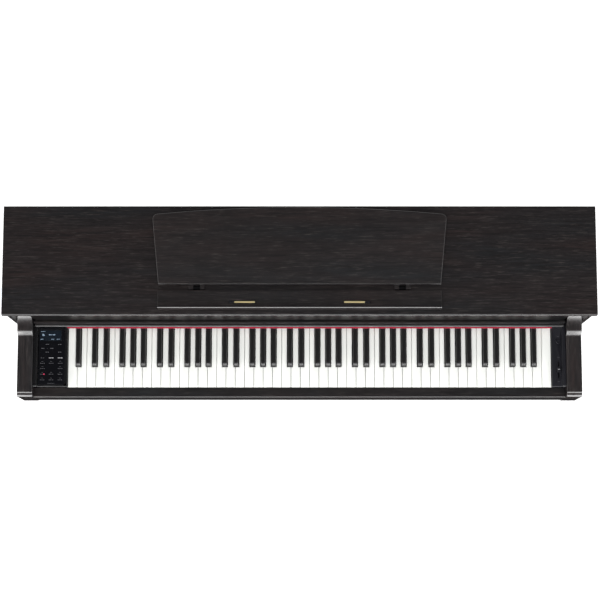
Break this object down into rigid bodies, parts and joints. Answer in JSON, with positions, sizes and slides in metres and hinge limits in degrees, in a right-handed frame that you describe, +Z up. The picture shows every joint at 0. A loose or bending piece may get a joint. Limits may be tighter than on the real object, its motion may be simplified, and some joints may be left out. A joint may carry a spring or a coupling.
{
  "type": "digital piano on stand",
  "caption": "Console digital piano on a panel stand, with a sliding key cover, a folding music rest on its lid and pedals in a box between the legs.",
  "frame": {"origin": "on the floor, under the centre of the overall box", "axes": "+X towards the treble end, -Y towards the player, +Z up"},
  "size_m": [1.461, 0.459, 0.927],
  "materials": {
    "rosewood": "dark rosewood film, satin",
    "black_plastic": "fine textured",
    "control_glass": "gloss touch surface",
    "display": "display window, gloss",
    "ivory": "fine matt key surface",
    "ebony": "satin",
    "red_felt": "pressed felt",
    "brass": "polished",
    "steel": "brushed",
    "dark_steel": "painted",
    "circuit_board": "solder mask",
    "speaker": "painted basket and cone"
  },
  "bodies": {
    "cabinet": {"top_lid": "rosewood", "case_side_left": "rosewood", "case_side_right": "rosewood", "arm_left": "rosewood", "arm_right": "rosewood", "front_moulding": "rosewood", "front_panel": "rosewood", "back_board": "rosewood", "keybed": "rosewood", "keyslip": "rosewood", "music_ledge": "rosewood", "leg_panel_left": "rosewood", "leg_panel_right": "rosewood", "foot_left": "rosewood", "foot_right": "rosewood", "stand_back_rail": "rosewood", "pedal_box": "rosewood", "end_block_left": "black_plastic", "end_block_right": "black_plastic", "power_inlet": "black_plastic", "headphone_box": "black_plastic", "control_glass": "control_glass", "display": "display", "felt_strip": "red_felt", "rest_hinge_left": "dark_steel", "rest_hinge_right": "dark_steel", "headphone_hook": "steel", "key_frame": "dark_steel", "main_board": "circuit_board", "woofer_left": "speaker", "woofer_right": "speaker", "naturals_bass": "ivory", "naturals_treble": "ivory", "sharps_bass": "ebony", "sharps_treble": "ebony"},
    "key_cover": {"key_cover_lip": "rosewood", "key_cover_panel": "rosewood"},
    "music_rest": {"music_rest": "rosewood"},
    "rest_stay_left": {"rest_stay_left": "steel"},
    "rest_stay_right": {"rest_stay_right": "steel"},
    "page_holder_left": {"page_holder_left": "brass"},
    "page_holder_right": {"page_holder_right": "brass"},
    "power_button": {"power_button": "black_plastic"},
    "volume_slider": {"volume_slider": "black_plastic"},
    "adjuster_foot": {"adjuster_foot": "black_plastic"},
    "pedal_soft": {"pedal_soft": "brass"},
    "pedal_sostenuto": {"pedal_sostenuto": "brass"},
    "pedal_damper": {"pedal_damper": "brass"},
    "key_C4": {"key_C4": "ivory"},
    "key_D4": {"key_D4": "ivory"},
    "key_E4": {"key_E4": "ivory"},
    "key_F4": {"key_F4": "ivory"},
    "key_G4": {"key_G4": "ivory"},
    "key_A4": {"key_A4": "ivory"},
    "key_B4": {"key_B4": "ivory"},
    "key_Cs4": {"key_Cs4": "ebony"},
    "key_Ds4": {"key_Ds4": "ebony"},
    "key_Fs4": {"key_Fs4": "ebony"},
    "key_Gs4": {"key_Gs4": "ebony"},
    "key_As4": {"key_As4": "ebony"}
  },
  "joints": [
    {"name": "key_cover_slide", "type": "slide", "parent": "cabinet", "child": "key_cover", "axis": [0, -1, 0], "range_m": [0, 0.158]},
    {"name": "music_rest_hinge", "type": "hinge", "parent": "cabinet", "child": "music_rest", "pos_m": [0, 0.02495, 0.911], "axis": [1, 0, 0], "range_deg": [0, 65]},
    {"name": "rest_stay_left_pivot", "type": "hinge", "parent": "music_rest", "child": "rest_stay_left", "pos_m": [-0.3, 0.10995, 0.9105], "axis": [1, 0, 0], "range_deg": [-125, 0]},
    {"name": "rest_stay_right_pivot", "type": "hinge", "parent": "music_rest", "child": "rest_stay_right", "pos_m": [0.3, 0.10995, 0.9105], "axis": [1, 0, 0], "range_deg": [-125, 0]},
    {"name": "page_holder_left_pivot", "type": "hinge", "parent": "cabinet", "child": "page_holder_left", "pos_m": [-0.17, -0.0109, 0.9141], "axis": [0, -1, 0], "range_deg": [0, 90]},
    {"name": "page_holder_right_pivot", "type": "hinge", "parent": "cabinet", "child": "page_holder_right", "pos_m": [0.17, -0.0109, 0.9141], "axis": [0, 1, 0], "range_deg": [0, 90]},
    {"name": "power_button_press", "type": "slide", "parent": "cabinet", "child": "power_button", "axis": [0, 0, -1], "range_m": [0, 0.002], "stiffness_N_per_m": 400, "springref_m": -0.001},
    {"name": "volume_slider_travel", "type": "slide", "parent": "cabinet", "child": "volume_slider", "axis": [0, 1, 0], "range_m": [-0.016, 0.016]},
    {"name": "adjuster_foot_turn", "type": "hinge", "parent": "cabinet", "child": "adjuster_foot", "pos_m": [0, 0.1385, 0.03], "axis": [0, 0, 1], "continuous": true},
    {"name": "pedal_soft_press", "type": "hinge", "parent": "cabinet", "child": "pedal_soft", "pos_m": [-0.07, 0.1645, 0.09], "axis": [1, 0, 0], "range_deg": [0, 7], "stiffness_Nm_per_rad": 10, "springref_deg": -6.88},
    {"name": "pedal_sostenuto_press", "type": "hinge", "parent": "cabinet", "child": "pedal_sostenuto", "pos_m": [0, 0.1645, 0.09], "axis": [1, 0, 0], "range_deg": [0, 7], "stiffness_Nm_per_rad": 10, "springref_deg": -6.88},
    {"name": "pedal_damper_press", "type": "hinge", "parent": "cabinet", "child": "pedal_damper", "pos_m": [0.07, 0.1645, 0.09], "axis": [1, 0, 0], "range_deg": [0, 7], "stiffness_Nm_per_rad": 10, "springref_deg": -6.88},
    {"name": "key_C4_press", "type": "hinge", "parent": "cabinet", "child": "key_C4", "pos_m": [0, 0.0088, 0.728], "axis": [1, 0, 0], "range_deg": [0, 2.7], "stiffness_Nm_per_rad": 1, "springref_deg": -14.32},
    {"name": "key_D4_press", "type": "hinge", "parent": "cabinet", "child": "key_D4", "pos_m": [0, 0.0088, 0.728], "axis": [1, 0, 0], "range_deg": [0, 2.7], "stiffness_Nm_per_rad": 1, "springref_deg": -14.32},
    {"name": "key_E4_press", "type": "hinge", "parent": "cabinet", "child": "key_E4", "pos_m": [0, 0.0088, 0.728], "axis": [1, 0, 0], "range_deg": [0, 2.7], "stiffness_Nm_per_rad": 1, "springref_deg": -14.32},
    {"name": "key_F4_press", "type": "hinge", "parent": "cabinet", "child": "key_F4", "pos_m": [0, 0.0088, 0.728], "axis": [1, 0, 0], "range_deg": [0, 2.7], "stiffness_Nm_per_rad": 1, "springref_deg": -14.32},
    {"name": "key_G4_press", "type": "hinge", "parent": "cabinet", "child": "key_G4", "pos_m": [0, 0.0088, 0.728], "axis": [1, 0, 0], "range_deg": [0, 2.7], "stiffness_Nm_per_rad": 1, "springref_deg": -14.32},
    {"name": "key_A4_press", "type": "hinge", "parent": "cabinet", "child": "key_A4", "pos_m": [0, 0.0088, 0.728], "axis": [1, 0, 0], "range_deg": [0, 2.7], "stiffness_Nm_per_rad": 1, "springref_deg": -14.32},
    {"name": "key_B4_press", "type": "hinge", "parent": "cabinet", "child": "key_B4", "pos_m": [0, 0.0088, 0.728], "axis": [1, 0, 0], "range_deg": [0, 2.7], "stiffness_Nm_per_rad": 1, "springref_deg": -14.32},
    {"name": "key_Cs4_press", "type": "hinge", "parent": "cabinet", "child": "key_Cs4", "pos_m": [0, 0.0088, 0.728], "axis": [1, 0, 0], "range_deg": [0, 3.2], "stiffness_Nm_per_rad": 1, "springref_deg": -14.32},
    {"name": "key_Ds4_press", "type": "hinge", "parent": "cabinet", "child": "key_Ds4", "pos_m": [0, 0.0088, 0.728], "axis": [1, 0, 0], "range_deg": [0, 3.2], "stiffness_Nm_per_rad": 1, "springref_deg": -14.32},
    {"name": "key_Fs4_press", "type": "hinge", "parent": "cabinet", "child": "key_Fs4", "pos_m": [0, 0.0088, 0.728], "axis": [1, 0, 0], "range_deg": [0, 3.2], "stiffness_Nm_per_rad": 1, "springref_deg": -14.32},
    {"name": "key_Gs4_press", "type": "hinge", "parent": "cabinet", "child": "key_Gs4", "pos_m": [0, 0.0088, 0.728], "axis": [1, 0, 0], "range_deg": [0, 3.2], "stiffness_Nm_per_rad": 1, "springref_deg": -14.32},
    {"name": "key_As4_press", "type": "hinge", "parent": "cabinet", "child": "key_As4", "pos_m": [0, 0.0088, 0.728], "axis": [1, 0, 0], "range_deg": [0, 3.2], "stiffness_Nm_per_rad": 1, "springref_deg": -14.32}
  ],
  "couplings": [
    {"joint": "rest_stay_left_pivot", "follows": "music_rest_hinge", "ratio": -1.9203},
    {"joint": "rest_stay_right_pivot", "follows": "music_rest_hinge", "ratio": -1.9203}
  ]
}
